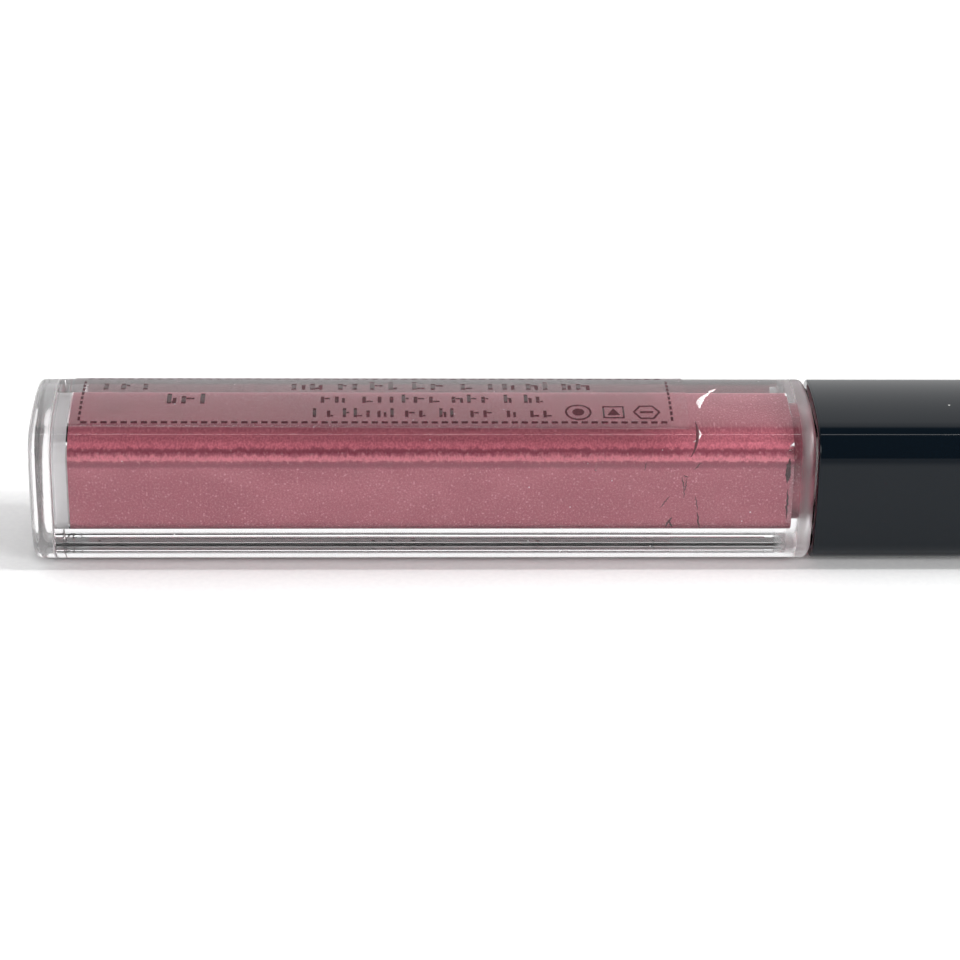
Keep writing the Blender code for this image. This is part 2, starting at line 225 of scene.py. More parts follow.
def spread(start, end, step):
    """Stations from start to end, about a step apart, with one close beside each end."""
    beside = min(0.12 * MM, abs(end - start) / 4)
    beside = math.copysign(beside, end - start)
    count = max(1, round(abs(end - start) / step))
    inner_start, inner_end = start + beside, end - beside
    inner = [inner_start + (inner_end - inner_start) * i / count for i in range(count + 1)]
    return [start] + inner + [end]


def rim(station, radius, ring, towards):
    """Rings that round a rim: from the side wall to the end face at station, or back to the wall.

    ring makes a ring from a station and an inset. towards is +1 where the end face looks to +X.
    """
    rings = []
    for i in range(RIM_STEPS + 1):
        turn = QUARTER_TURN * i / RIM_STEPS
        rings.append(ring(station - towards * radius * (1 - math.sin(turn)),
                          radius * (1 - math.cos(turn))))
    return rings


def bridge(bm, row, following):
    """Faces between two closed rows of equal count."""
    for i in range(len(row)):
        j = (i + 1) % len(row)
        bm.faces.new((row[i], row[j], following[j], following[i]))


def loft(name, rings, closed=False, sharp=40 * DEGREE):
    """A smooth piece through rings of equal count, capped at both ends unless it is closed."""
    bm = bmesh.new()
    rows = [[bm.verts.new(point) for point in ring] for ring in rings]
    pairs = list(zip(rows, rows[1:]))
    if closed:
        pairs.append((rows[-1], rows[0]))
    else:
        bm.faces.new(rows[0])
        bm.faces.new(rows[-1])
    for row, following in pairs:
        bridge(bm, row, following)
    return piece(name, bm, sharp)


def piece(name, bm, sharp=40 * DEGREE):
    """A scene object from a bmesh, which is freed."""
    bmesh.ops.recalc_face_normals(bm, faces=bm.faces)
    mesh = bpy.data.meshes.new(name)
    bm.to_mesh(mesh)
    bm.free()
    mesh.shade_smooth()
    mesh.set_sharp_from_angle(angle=sharp)
    made = bpy.data.objects.new(name, mesh)
    bpy.context.scene.collection.objects.link(made)
    return made


def finish_piece(made, material, body, slot, *nodes):
    """Gives a piece its material and body, and hides the CAD nodes that it stands for. slot is not
    used.
    """
    made.data.materials.append(material)
    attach(made, body)
    if nodes:
        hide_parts(*nodes)
    return made


# ---------------------------------------------------------------- materials


class Nodes:
    """A material's node tree, with short calls for the nodes that the finishes here use."""

    def __init__(self, name, **sockets):
        self.material = bpy.data.materials.new(name)
        self.material.use_nodes = True
        self.tree = self.material.node_tree
        self.shader = self.tree.nodes["Principled BSDF"]
        for socket, value in sockets.items():
            self.shader.inputs[socket.replace("_", " ")].default_value = value
        coordinates = self.tree.nodes.new("ShaderNodeTexCoord")
        self.object = coordinates.outputs["Object"]

    def set(self, node, socket, value):
        """Links or sets one input of a node."""
        if isinstance(value, bpy.types.NodeSocket):
            self.tree.links.new(value, node.inputs[socket])
        else:
            node.inputs[socket].default_value = value

    def add(self, kind, **sockets):
        """A new node with these inputs linked or set."""
        node = self.tree.nodes.new(kind)
        for socket, value in sockets.items():
            self.set(node, socket.replace("_", " "), value)
        return node

    def to_shader(self, socket, value):
        self.set(self.shader, socket, value)

    def place(self, scale=(1, 1, 1), move=(0, 0, 0)):
        """The object's coordinates, scaled and moved."""
        node = self.add("ShaderNodeMapping", Vector=self.object, Scale=scale, Location=move)
        return node.outputs["Vector"]

    def noise(self, scale, vector=None, detail=2.0, distortion=0.0, roughness=0.5):
        """Soft clouds, from 0 to 1."""
        node = self.add("ShaderNodeTexNoise", Vector=self.object if vector is None else vector,
                        Scale=scale, Detail=detail, Distortion=distortion, Roughness=roughness)
        return node.outputs["Fac"]

    def voronoi(self, scale, feature="F1", output="Distance", vector=None):
        """Cells of random shape."""
        node = self.add("ShaderNodeTexVoronoi", Scale=scale,
                        Vector=self.object if vector is None else vector)
        node.feature = feature
        return node.outputs[output]

    def math(self, operation, first, second=0.0):
        """A sum, a product or another operation on two values."""
        node = self.add("ShaderNodeMath")
        node.operation = operation
        self.set(node, 0, first)
        self.set(node, 1, second)
        return node.outputs[0]

    def step(self, value, low, high, to_low=0.0, to_high=1.0):
        """A smooth step of a value from one range to another."""
        node = self.add("ShaderNodeMapRange", Value=value, From_Min=low, From_Max=high,
                        To_Min=to_low, To_Max=to_high)
        node.interpolation_type = "SMOOTHSTEP"
        return node.outputs["Result"]

    def mix(self, share, first, second):
        """A mix of two colours, whose inputs are told apart only by number."""
        node = self.add("ShaderNodeMix", Factor=share)
        node.data_type = "RGBA"
        self.set(node, 6, first)
        self.set(node, 7, second)
        return node.outputs[2]

    def axis(self, letter):
        """The object's X, Y or Z."""
        return self.add("ShaderNodeSeparateXYZ", Vector=self.object).outputs[letter]

    def bump(self, height, strength, distance):
        """Small relief on the surface."""
        node = self.add("ShaderNodeBump", Height=height, Strength=strength, Distance=distance)
        self.to_shader("Normal", node.outputs["Normal"])


def scratches(nodes, scale, width, stretch, move=(0, 0, 0)):
    """A mask of fine straight scratches: 1 on a scratch."""
    cells = nodes.voronoi(scale, "DISTANCE_TO_EDGE", vector=nodes.place(stretch, move))
    lines = nodes.step(cells, 0, width, 1, 0)
    patches = nodes.step(nodes.noise(scale * 0.6), 0.5, 0.62)
    return nodes.math("MULTIPLY", lines, patches)


def specks(nodes, scale, size, share):
    """A mask of separate round specks: 1 on a speck."""
    near = nodes.step(nodes.voronoi(scale), size * 0.6, size, 1, 0)
    kept = nodes.add("ShaderNodeSeparateColor", Color=nodes.voronoi(scale, output="Color"))
    chosen = nodes.math("LESS_THAN", kept.outputs[0], share)
    return nodes.math("MULTIPLY", near, chosen)


def clear_plastic():
    """The bottle: polished outside, with haze at the seam and in the shoulder, and dust."""
    nodes = Nodes("clear plastic", Base_Color=(0.935, 0.937, 0.945, 1), IOR=PLASTIC_IOR)
    nodes.shader.inputs["Transmission Weight"].default_value = 1.0
    dust = specks(nodes, 1300, 0.13, 0.05)
    station = nodes.axis("X")
    polished, moulded_neck, seam_face, cloudy = 0.025, 0.09, 0.15, 0.42
    shoulder = nodes.step(station, *(BASE + s for s in SHOULDER_HAZE), polished, cloudy)
    neck = nodes.step(station, *(BASE + s for s in NECK_HAZE), cloudy, moulded_neck)
    seam = nodes.step(station, *(BASE + s for s in BASE_HAZE), seam_face, 0.0)
    haze = nodes.math("MAXIMUM", nodes.math("MINIMUM", shoulder, neck), seam)
    nodes.to_shader("Roughness", nodes.math("MAXIMUM", haze, nodes.math("MULTIPLY", dust, 0.35)))
    nodes.bump(nodes.noise(90, detail=1.0), 0.06, 0.0002)
    return nodes.material


def milky_plastic():
    """The base plug: clear in its flange, cloudy where it is welded into the cavity."""
    nodes = Nodes("milky plastic", Base_Color=(0.97, 0.96, 0.965, 1), IOR=PLASTIC_IOR)
    station, seam = nodes.axis("X"), BASE + FLANGE
    haze = nodes.step(station, seam - 0.4 * MM, seam + 0.3 * MM, 0.09, 0.55)
    nodes.to_shader("Roughness", haze)
    clearness = nodes.step(station, seam - 0.2 * MM, seam + 0.2 * MM, 0.96, 0.62)
    nodes.to_shader("Transmission Weight", clearness)
    nodes.bump(nodes.noise(700, detail=3.0), 0.12, 0.0001)
    return nodes.material


def pink_gloss():
    """The gloss: slow clouds of two pinks, pearl grain and flecks, and painted highlight and shade
    lines.
    """
    nodes = Nodes("pink gloss", Roughness=0.30, Metallic=0.2)
    nodes.shader.inputs["Specular IOR Level"].default_value = 0.15
    dark = (0.27, 0.055, 0.085, 1)
    deep = (0.43, 0.110, 0.152, 1)
    light = (0.50, 0.145, 0.190, 1)
    pale = (0.74, 0.34, 0.38, 1)
    clouds = nodes.noise(170, nodes.place((0.5, 1, 1)), detail=3.0, distortion=0.6)
    colour = nodes.mix(nodes.step(clouds, 0.36, 0.66), deep, light)
    grain = nodes.noise(5200, detail=2.0, roughness=0.7)
    colour = nodes.mix(nodes.step(grain, 0.52, 0.72, 0, 0.55), colour, pale)
    colour = nodes.mix(nodes.step(grain, 0.28, 0.48, 0.5, 0), colour, dark)
    flecks = specks(nodes, 3400, 0.38, 0.14)
    colour = nodes.mix(nodes.math("MULTIPLY", flecks, 0.6), colour, pale)
    # painted highlight and painted shade along the gloss's upper front corner
    nodes.to_shader("Base Color", painted_corner_light(nodes, colour, grain))
    nodes.bump(grain, 0.15, 0.00005)
    return nodes.material


def painted_corner_light(nodes, colour, grain):
    """A painted highlight line along the upper long edge, between two painted shade lines.

    A line is its low side, its high side and its softness. All heights are above the axis.
    """
    # where the painted highlight line and the two painted shade lines lie
    highlight_band = (3.08 * MM, 3.38 * MM, 0.09 * MM)
    shade_bands = ((2.45 * MM, 2.95 * MM, 0.2 * MM), (3.50 * MM, 3.66 * MM, 0.05 * MM))
    line_depth = (-3.2 * MM, -3.0 * MM)         # Y over which the lines fade out
    edge_depth = (-2.3 * MM, -1.7 * MM)         # and the painted highlight at the front of the upper face
    edge_height = (3.60 * MM, 3.68 * MM)
    waver = 0.38 * MM
    # colours of the painted shade lines and of the painted highlight line
    deep, pale = (0.25, 0.050, 0.078, 1), (0.86, 0.30, 0.36, 1)
    edge_highlight_deep, edge_highlight_pale = (0.60, 0.150, 0.205, 1), (0.82, 0.235, 0.300, 1)

    ragged = nodes.math("SUBTRACT", nodes.noise(2300, detail=3.0), 0.5)
    height = nodes.math("ADD", nodes.axis("Z"), nodes.math("MULTIPLY", ragged, waver))

    def line(low, high, soft):
        rise = nodes.step(height, AXIS + low - soft, AXIS + low + soft)
        fall = nodes.step(height, AXIS + high - soft, AXIS + high + soft, 1, 0)
        return nodes.math("MULTIPLY", rise, fall)

    front = nodes.step(nodes.axis("Y"), *line_depth, 1, 0)
    painted_highlight = nodes.math("MULTIPLY", line(*highlight_band), front)
    painted_highlight = nodes.math("MULTIPLY", painted_highlight, nodes.step(grain, 0.3, 0.6, 0.55, 1.0))
    # painted highlight on the front of the upper face
    edge = nodes.math("MULTIPLY", nodes.step(nodes.axis("Y"), *edge_depth, 1, 0),
                      nodes.step(nodes.axis("Z"), *(AXIS + z for z in edge_height)))
    edge_highlight_colour = nodes.mix(nodes.step(grain, 0.35, 0.65), edge_highlight_deep, edge_highlight_pale)
    colour = nodes.mix(nodes.math("MULTIPLY", edge, 0.85), colour, edge_highlight_colour)
    painted_shade = nodes.math("MAXIMUM", *(line(*sides) for sides in shade_bands))
    painted_shade = nodes.math("MULTIPLY", nodes.math("MULTIPLY", painted_shade, front), 0.75)
    colour = nodes.mix(painted_shade, colour, deep)
    return nodes.mix(painted_highlight, colour, pale)


def label_film_material():
    """The sticker: clear, slightly pink and a little hazy."""
    nodes = Nodes("label film", Base_Color=(0.90, 0.80, 0.82, 1), IOR=1.40)
    nodes.shader.inputs["Transmission Weight"].default_value = 1.0
    cloud = nodes.noise(260, detail=3.0)
    nodes.to_shader("Roughness", nodes.step(cloud, 0.3, 0.7, 0.05, 0.13))
    nodes.bump(nodes.noise(600, detail=3.0), 0.10, 0.0001)
    return nodes.material


def ink_material():
    """Dark ink, paler where it is worn."""
    nodes = Nodes("print", Base_Color=(0.05, 0.02, 0.028, 1), Roughness=0.4)
    nodes.shader.inputs["Specular IOR Level"].default_value = 0.08
    wear = nodes.step(nodes.noise(2600, detail=3.0), 0.55, 0.75)
    ink, worn = (0.050, 0.010, 0.015, 1), (0.15, 0.040, 0.055, 1)
    nodes.to_shader("Base Color", nodes.mix(wear, ink, worn))
    nodes.to_shader("Roughness", nodes.step(wear, 0, 1, 0.35, 0.6))
    return nodes.material


def residue_and_highlight_material():
    """Dried gloss, off-white and mottled; also the finish of a painted highlight on the label's
    curl.
    """
    nodes = Nodes("dried residue and painted highlight", Roughness=0.6)
    mottle = nodes.noise(4200, detail=3.0)
    nodes.to_shader("Base Color", nodes.mix(nodes.step(mottle, 0.4, 0.65),
                                            (0.90, 0.84, 0.84, 1), (0.62, 0.42, 0.45, 1)))
    nodes.bump(mottle, 0.5, 0.00004)
    return nodes.material


def gloss_black():
    """The cap: black with fine scratches, dust and a faint haze."""
    black = (0.0006, 0.0030, 0.0060, 1)
    nodes = Nodes("gloss black", Base_Color=black, IOR=1.32)
    marks = scratches(nodes, 900, 0.012, (0.22, 1, 1), (0.3, 0.1, 0.2))
    dust = specks(nodes, 760, 0.10, 0.07)
    nodes.to_shader("Base Color", nodes.mix(dust, black, (0.42, 0.42, 0.41, 1)))
    worn = nodes.math("MAXIMUM", nodes.math("MULTIPLY", marks, 0.16),
                      nodes.math("MULTIPLY", dust, 0.7))
    haze = nodes.step(nodes.noise(140, detail=3.0), 0.35, 0.7, 0.035, 0.075)
    nodes.to_shader("Roughness", nodes.math("MAXIMUM", worn, haze))
    nodes.bump(nodes.noise(70, detail=1.0), 0.04, 0.0002)
    return nodes.material


def moulded(name, colour, roughness, grain_scale, grain, see_through=0.0):
    """A plain moulded plastic with a fine grain and slow changes of shade."""
    nodes = Nodes(name, Roughness=roughness)
    nodes.shader.inputs["Transmission Weight"].default_value = see_through
    darker = tuple(0.86 * c for c in colour[:3]) + (1,)
    shade = nodes.noise(300, detail=3.0)
    nodes.to_shader("Base Color", nodes.mix(nodes.step(shade, 0.3, 0.7), darker, colour))
    fine = nodes.noise(grain_scale, detail=2.0)
    nodes.to_shader("Roughness", nodes.step(fine, 0.3, 0.7, roughness * 0.8, roughness * 1.2))
    nodes.bump(fine, grain, 0.00005)
    return nodes.material


def smeared(name, clean, gloss, roughness, start, end):
    """A finish with gloss left on it, thick at the start station and thinner towards the end."""
    nodes = Nodes(name, Roughness=roughness)
    run = nodes.step(nodes.axis("X"), BASE + start, BASE + end, 1.0, 0.0)
    patch = nodes.noise(700, nodes.place((0.35, 1, 1)), detail=3.0, distortion=0.5)
    amount = nodes.step(nodes.math("ADD", nodes.math("MULTIPLY", run, 0.6), patch), 0.42, 0.72)
    streak = nodes.noise(2600, detail=2.0)
    stain = nodes.mix(nodes.step(streak, 0.4, 0.7), gloss, (0.74, 0.30, 0.34, 1))
    nodes.to_shader("Base Color", nodes.mix(amount, clean, stain))
    nodes.to_shader("Roughness", nodes.step(amount, 0, 1, roughness, 0.22))
    nodes.bump(patch, 0.3, 0.0001)
    return nodes.material


def paper():
    """White paper with painted shade: grey well in front of the tube, a shadow under the bottle.
    """
    white_from = (-0.100, -0.0675)              # Y over which the painted grey shade turns white
    shade_side = (3.2 * MM, 5.8 * MM)           # distance from the axis where the painted shadow ends,
    shade_base = (-1.0 * MM, 1.5 * MM)          # stations where it begins
    shade_cap = (CAP_START - 2.5 * MM, CAP_START)   # and where it ends
    nodes = Nodes("white paper", Roughness=0.6)
    nodes.shader.inputs["Specular IOR Level"].default_value = 0.1
    fibre = nodes.noise(1800, detail=3.0)
    white = nodes.mix(nodes.step(fibre, 0.3, 0.7), (0.90, 0.90, 0.905, 1), (0.93, 0.93, 0.93, 1))
    across, along = nodes.axis("Y"), nodes.axis("X")
    # painted shade: the paper turns grey well in front of the tube
    near = nodes.step(across, *white_from, 1, 0)
    colour = nodes.mix(near, white, (0.42, 0.42, 0.425, 1))
    # painted shadow under the bottle, from its base end to the cap's start
    under = nodes.step(nodes.math("ABSOLUTE", across), *shade_side, 1, 0)
    begins = nodes.step(along, *(BASE + s for s in shade_base))
    ends = nodes.step(along, *(BASE + s for s in shade_cap), 1, 0)
    under = nodes.math("MULTIPLY", nodes.math("MULTIPLY", under, begins), ends)
    nodes.to_shader("Base Color", nodes.mix(under, colour, (0.17, 0.16, 0.17, 1)))
    nodes.bump(fibre, 0.1, 0.00005)
    return nodes.material


# ---------------------------------------------------------------- clear bottle


def thread_rise(station, angle):
    """How far the neck's thread stands out at a place on the neck."""
    rise = 0.0
    for number in range(-1, int(THREAD_TURNS) + 2):
        turn = angle / (2 * math.pi) % 1 + number
        share = min(1, 3 * min(turn, THREAD_TURNS - turn))
        away = abs(station - THREAD_START - PITCH * turn)
        if share > 0 and away < THREAD_HALF_WIDTH:
            rise = max(rise, share * math.cos(away / THREAD_HALF_WIDTH * QUARTER_TURN))
    return THREAD_HEIGHT * rise


def neck_ring(station):
    """A ring round the threaded neck."""
    ring = []
    for angle in POLAR:
        radius = NECK_OUTSIDE + thread_rise(station, angle)
        ring.append(place(station, radius * math.cos(angle), radius * math.sin(angle)))
    return ring


def bottle_body(material):
    """Clear body, shoulder and threaded neck as one closed skin, inside and out."""
    fillet = 0.3 * MM
    lip = 0.15 * MM

    def neck(station, inset):
        return circle(station, NECK_OUTSIDE - inset)

    rings = rim(BOTTLE_START, SEAM_ROUNDING, outside, -1)[::-1]
    rings += [square(s) for s in
              spread(BOTTLE_START + SEAM_ROUNDING, BOTTLE_LENGTH - END_ROUNDING, 2.5 * MM)[1:-1]]
    rings += rim(BOTTLE_LENGTH, END_ROUNDING, outside, 1)
    root = circle(BOTTLE_LENGTH, NECK_OUTSIDE + fillet)
    rings += between(rings[-1], root, 0.03, 0.5, 0.95)
    for i in range(RIM_STEPS + 1):
        turn = QUARTER_TURN * i / RIM_STEPS
        rings.append(circle(BOTTLE_LENGTH + fillet * (1 - math.cos(turn)),
                            NECK_OUTSIDE + fillet * (1 - math.sin(turn))))
    thread_low = THREAD_START - THREAD_HALF_WIDTH
    thread_high = THREAD_START + PITCH * THREAD_TURNS + THREAD_HALF_WIDTH
    rings += [neck_ring(s) for s in spread(BOTTLE_LENGTH + fillet, thread_low, 1.0 * MM)[1:]]
    rings += [neck_ring(s) for s in spread(thread_low, thread_high, 0.1 * MM)[1:]]
    rings += [neck_ring(s) for s in spread(thread_high, NECK_END - lip, 1.0 * MM)[1:-1]]
    rings += rim(NECK_END, lip, neck, 1)
    rings += [circle(NECK_END, (NECK_OUTSIDE + NECK_BORE) / 2), circle(NECK_END, NECK_BORE)]
    rings += [circle(s, NECK_BORE) for s in spread(NECK_END, CAVITY_END, 1.0 * MM)[1:]]
    rings += between(rings[-1], cavity(CAVITY_END), 0.1, 0.9)
    rings += [cavity(s) for s in spread(CAVITY_END, BOTTLE_START, 3.0 * MM)]
    made = loft("bottle_body_clear", rings, closed=True)
    return finish_piece(made, material, "bottle", "clear_plastic", "bottle_body")


def base_plug(material):
    """Clear end piece: a rounded flange and the spigot that closes the cavity."""
    face = outside(0, END_ROUNDING)
    rings = [shrunk(face, 0.3), shrunk(face, 0.97)]
    rings += rim(0, END_ROUNDING, outside, -1)[::-1]
    rings += [square(s) for s in spread(END_ROUNDING, FLANGE - SEAM_ROUNDING, 1.0 * MM)[1:-1]]
    rings += rim(FLANGE, SEAM_ROUNDING, outside, 1)
    rings += between(rings[-1], cavity(FLANGE, -SPIGOT_GAP), 0.05, 0.95)
    rings += [cavity(s, -SPIGOT_GAP) for s in spread(FLANGE, CAVITY_START, 1.0 * MM)]
    end = cavity(CAVITY_START, -SPIGOT_GAP)
    rings += [shrunk(end, 0.95), shrunk(end, 0.3)]
    made = loft("base_plug_clear", rings)
    return finish_piece(made, material, "bottle", "clear_plastic", "base_plug")


def pocket(station, angle):
    """How far the gloss has drawn back from the wall at a place in the cavity, from 0 to 1."""
    edge = noise.noise(Vector((angle * 2.3, station / (0.9 * MM), 0.7)))
    close = (station - POCKET_START) / (CAVITY_END - POCKET_START) + 0.5 * edge
    away = abs(angle - POCKET_ANGLE)
    corner = max(0.0, math.cos(2 * away)) if away < QUARTER_TURN else 0
    return min(1.0, max(0.0, 4 * (close - 1.05 + 0.55 * corner ** 4)))


def gloss(material):
    """The gloss, which wets the cavity's walls, with the channel that the wand leaves."""

    def settled(station):
        """The cavity's ring, wetted by the gloss except in the pockets near its cap end."""
        wall, drawn_in = cavity(station, OVERLAP), cavity(station, -POCKET_DEPTH)
        return [a.lerp(b, pocket(station, angle))
                for a, b, angle in zip(wall, drawn_in, outline_angles(CAVITY_BULGE))]

    neck_radius = NECK_BORE + OVERLAP
    end = CAVITY_END + OVERLAP
    rings = [shrunk(settled(FILL_START), share) for share in (0.5, 0.9)]
    rings += [settled(s) for s in spread(FILL_START, POCKET_START, 1.0 * MM)[:-1]]
    rings += [settled(s) for s in spread(POCKET_START, end, 0.12 * MM)]
    rings += between(rings[-1], circle(end, neck_radius), 0.1, 0.9, 1.0)
    rings += [circle(s, neck_radius) for s in spread(end, FILL_END, 0.4 * MM)[1:]]
    rings += [circle(FILL_END, FILL_HOLE)]
    rings += [circle(s, FILL_HOLE) for s in spread(FILL_END, FILL_HOLE_START, 2.0 * MM)[1:]]
    made = loft("gloss_fill_pink", rings)
    return finish_piece(made, material, "bottle", "pink_gloss", "gloss_fill")


# ---------------------------------------------------------------- label


def near_edge(station):
    """The angle of the label's near edge, which runs slightly crooked."""
    share = (station - LABEL_START) / (LABEL_END - LABEL_START)
    return LABEL_NEAR[0] + (LABEL_NEAR[1] - LABEL_NEAR[0]) * share


def film_height(share):
    """The film's relative thickness across it: it thins out over a short way at both edges."""
    return min(1.0, 0.15 + 12 * min(share, 1 - share))


def label_film(material):
    """The clear sticker, as a thin closed strip that bends over the long edges."""
    across = 40
    rings = []
    for station in spread(LABEL_START, LABEL_END, 1.5 * MM):
        last = near_edge(station)
        angles = [LABEL_FAR + (last - LABEL_FAR) * i / across for i in range(across + 1)]
        top = [outline_point(a, SIDE, CORNER, BULGE, LABEL_THICKNESS * film_height(i / across))
               for i, a in enumerate(angles)]
        under = [outline_point(a, SIDE, CORNER, BULGE, -OVERLAP) for a in angles]
        rings.append([place(station, y, z) for y, z in top + under[::-1]])
    made = loft("label_film_clear", rings)
    return finish_piece(made, material, "bottle", "label_film", "label_film")


def film_point(station, across, height=0.0):
    """A point on the label's outer side. across is measured round the section, far side +."""
    face_radius = FACE_EDGE / BULGE
    lean = across / face_radius
    if abs(across) > FACE_EDGE:
        lean = math.copysign(BULGE + (abs(across) - FACE_EDGE) / CORNER, across)
    y, z = outline_point(QUARTER_TURN - lean, SIDE, CORNER, BULGE, LABEL_THICKNESS + height)
    return place(station, y, z)


def printed(bm, outline, hole=None):
    """A thin patch of ink on the film from (station, across) points, or a ring with a hole."""
    loops = [outline] + ([hole] if hole else [])
    made = [[[bm.verts.new(film_point(s, a, level)) for s, a in loop] for loop in loops]
            for level in (INK, -INK)]
    for over, under in zip(*made):
        bridge(bm, over, under)
    for level in made:
        if hole:
            bridge(bm, *level)
        else:
            bm.faces.new(level[0])


def bar_patch(bm, station, across, length, width):
    """A rectangle of ink centred on a place."""
    s, a = length / 2, width / 2
    printed(bm, [(station - s, across - a), (station + s, across - a),
                 (station + s, across + a), (station - s, across + a)])


def dashed_frame(bm):
    """The dashed line round the printed area."""
    count = int((PRINT_END - PRINT_START) / DASH_PITCH)
    for i in range(count):
        station = PRINT_START + DASH_PITCH * (i + 0.5)
        for across in (-PRINT_EDGE, PRINT_EDGE):
            bar_patch(bm, station, across, DASH, DASH_WIDTH)
    count = int(2 * PRINT_EDGE / DASH_PITCH)
    for i in range(count):
        across = -PRINT_EDGE + DASH_PITCH * (i + 0.6)
        for station in (PRINT_START, PRINT_END):
            bar_patch(bm, station, across, 0.8 * DASH_WIDTH, DASH)


def word(bm, draw, start, end, across, height):
    """A word-like group of plain upright strokes that spell nothing."""
    stem = 0.21 * height
    station = start
    while station < end - stem:
        width = draw.choice((0.42, 0.55, 0.62)) * height
        tall = draw.choice((0.72, 0.72, 1.0)) * height
        foot = across - height / 2
        bar_patch(bm, station + stem / 2, foot + tall / 2, stem, tall)
        if draw.random() < 0.65:
            low = draw.choice((0.08, 0.42)) * height
            bar_patch(bm, station + (stem + width) / 2, foot + low + stem / 3,
                      width - stem - 0.04 * height, 0.7 * stem)
        if draw.random() < 0.45:
            bar_patch(bm, station + width - 0.3 * stem, foot + 0.27 * height, 0.8 * stem,
                      0.54 * height)
        station += width + 0.26 * height


def ring_points(station, across, radius, count=32):
    """Points round a printed circle."""
    return [(station + radius * math.cos(2 * math.pi * i / count),
             across + 1.05 * radius * math.sin(2 * math.pi * i / count)) for i in range(count)]


def symbols(bm):
    """Three plain shapes: a disc in a ring, a triangle in a square and a bar in a hexagon."""
    across = -2.95 * MM
    size = 1.25 * MM
    line = 0.2 * MM
    first, second, third = (station * MM for station in (51.1, 54.4, 57.5))
    printed(bm, ring_points(first, across, size), ring_points(first, across, size - line))
    printed(bm, ring_points(first, across, 0.45 * size))
    for radius, station, count in ((size * 1.15, second, 4), (size * 1.05, third, 6)):
        spin = math.pi / 4 if count == 4 else 0
        rings = [[(station + r * math.cos(2 * math.pi * i / count + spin),
                   across + r * math.sin(2 * math.pi * i / count + spin)) for i in range(count)]
                 for r in (radius, radius - 1.2 * line)]
        printed(bm, *rings)
    half, foot = 0.5 * size, across - 0.4 * size
    printed(bm, [(second - half, foot), (second + half, foot), (second, across + half)])
    bar_patch(bm, third, across, size, 1.6 * line)


def label_print(material):
    """The label's dashed frame, rows of small strokes and symbols."""
    draw = random.Random(12)
    bm = bmesh.new()
    dashed_frame(bm)
    rows = (        # place across and height of a row, then where its words start and end, in mm
        (2.55, 2.0, ((6.5, 9.4), (10.2, 11.6), (24.2, 27.6), (28.6, 30.6), (31.6, 34.4),
                     (35.6, 39.2), (40.2, 41.8), (42.8, 45.4), (46.4, 48.8), (49.8, 52.0))),
        (-0.45, 2.0, ((12.6, 17.8),)),
        (-0.45, 1.65, ((27.0, 29.9), (30.9, 37.9), (39.3, 43.3), (44.2, 45.3), (46.1, 48.6))),
        (-3.05, 1.5, ((26.3, 28.4), (29.1, 30.6), (31.3, 34.2), (34.9, 37.3), (38.1, 40.3),
                      (41.0, 43.6), (44.4, 45.9), (46.6, 49.0))),
    )
    for across, height, words in rows:
        for start, end in words:
            word(bm, draw, start * MM, end * MM, across * MM, height * MM)
    symbols(bm)
    return finish_piece(piece("label_print", bm), material, "bottle", "label_film")


# ---------------------------------------------------------------- wear and residue


def thread_tube(bm, points, radius, sides=6):
    """A thin closed tube through points, thinner towards both ends."""
    rows = []
    count = len(points)
    for number, point in enumerate(points):
        ahead = points[min(number + 1, count - 1)] - points[max(number - 1, 0)]
        side = ahead.cross(Vector((0.3, -1, 0.4))).normalized()
        up = side.cross(ahead).normalized()
        share = min(1.0, 0.25 + 2.5 * min(number, count - 1 - number) / count)
        rows.append([bm.verts.new(point + radius * share * (side * math.cos(a) + up * math.sin(a)))
                     for a in (2 * math.pi * i / sides for i in range(sides))])
    for row, following in zip(rows, rows[1:]):
        bridge(bm, row, following)
    bm.faces.new(rows[0])
    bm.faces.new(rows[-1])


def wandering(draw, start, end, steps, waver):
    """Points between two (station, height) pairs with a seeded sideways wander."""
    made = []
    for i in range(steps + 1):
        share = i / steps
        off = waver * math.sin(math.pi * min(1, 4 * min(share, 1 - share)) / 2)
        made.append((start[0] + (end[0] - start[0]) * share + draw.uniform(-off, off),
                     start[1] + (end[1] - start[1]) * share + draw.uniform(-off, off)))
    return made


def gloss_cracks(material):
    """Dried cracks in the gloss, on the front wall of the cavity near the label's cap end."""
    draw = random.Random(5)
    bm = bmesh.new()
    cracks = (      # two ends as (station, height) and the radius, in mm
        ((62.2, -0.3), (62.5, -1.7), 0.051), ((62.45, -1.9), (62.75, -3.55), 0.0714),
        ((60.9, 1.6), (61.15, 0.2), 0.0476), ((61.35, 1.5), (61.1, -0.5), 0.051),
        ((58.9, -1.5), (59.8, -0.3), 0.0544), ((59.5, -3.4), (60.1, -2.4), 0.0935),
        ((59.7, -2.7), (60.2, -3.4), 0.0765), ((62.7, 3.0), (62.0, 2.3), 0.051),
        ((57.5, 3.0), (57.3, 2.2), 0.0408), ((61.0, 1.7), (61.5, 1.6), 0.0408),
        ((70.95, 3.3), (70.75, 1.3), 0.221), ((71.0, 2.6), (70.8, 1.0), 0.17),
        ((70.9, 0.4), (70.95, -2.6), 0.102),
    )
    front = -CAVITY_SIDE / 2 - OVERLAP
    for start, end, radius in cracks:
        path = wandering(draw, start, end, 14, 0.07)
        thread_tube(bm, [place(s * MM, front, z * MM) for s, z in path], radius * MM)
    return finish_piece(piece("gloss_cracks", bm), material, "bottle", "pink_gloss")


